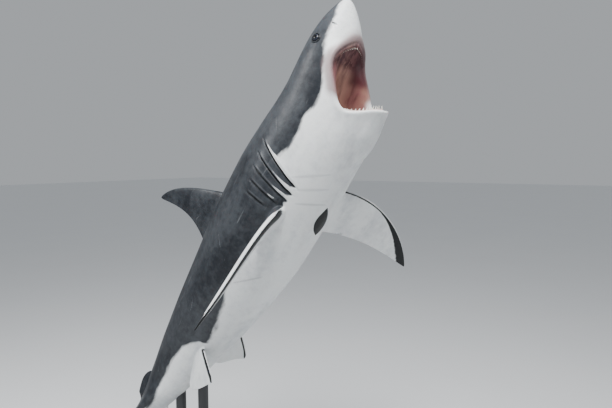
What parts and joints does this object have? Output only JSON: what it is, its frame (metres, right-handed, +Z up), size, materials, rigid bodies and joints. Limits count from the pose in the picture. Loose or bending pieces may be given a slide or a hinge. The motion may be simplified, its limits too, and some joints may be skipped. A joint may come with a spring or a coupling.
{
  "type": "great white shark",
  "caption": "Great white shark as a still, life-size model: rising nose-up with its mouth open, tail swept to its right, held by rods on a plain flat base.",
  "frame": {"origin": "middle of the stand's underside, where it rests on the floor", "axes": "+Z up; the belly faces -Y and the animal's right side faces -X, with the snout rising to +Z"},
  "size_m": [2.2253, 2.857, 3.6905],
  "materials": {
    "shark_skin": "satin",
    "belly_skin": "satin",
    "eye": "gloss",
    "tooth": "satin",
    "stand_steel": "satin"
  },
  "bodies": {
    "root": {"head": "shark_skin", "lower_jaw": "belly_skin", "gill_region": "shark_skin", "trunk_front": "shark_skin", "trunk_rear": "shark_skin", "loin": "shark_skin", "tail_stalk": "shark_skin", "tail_fin_upper_lobe": "shark_skin", "tail_fin_lower_lobe": "shark_skin", "first_dorsal_fin": "shark_skin", "second_dorsal_fin": "shark_skin", "anal_fin": "shark_skin", "pectoral_fin_left": "shark_skin", "pectoral_fin_right": "shark_skin", "pelvic_fin_left": "shark_skin", "pelvic_fin_right": "shark_skin", "eye_left": "eye", "eye_right": "eye", "stand_base": "stand_steel", "stand_rod_front": "stand_steel", "stand_rod_rear": "stand_steel", "stand_flange_front": "stand_steel", "stand_flange_rear": "stand_steel"}
  },
  "joints": []
}
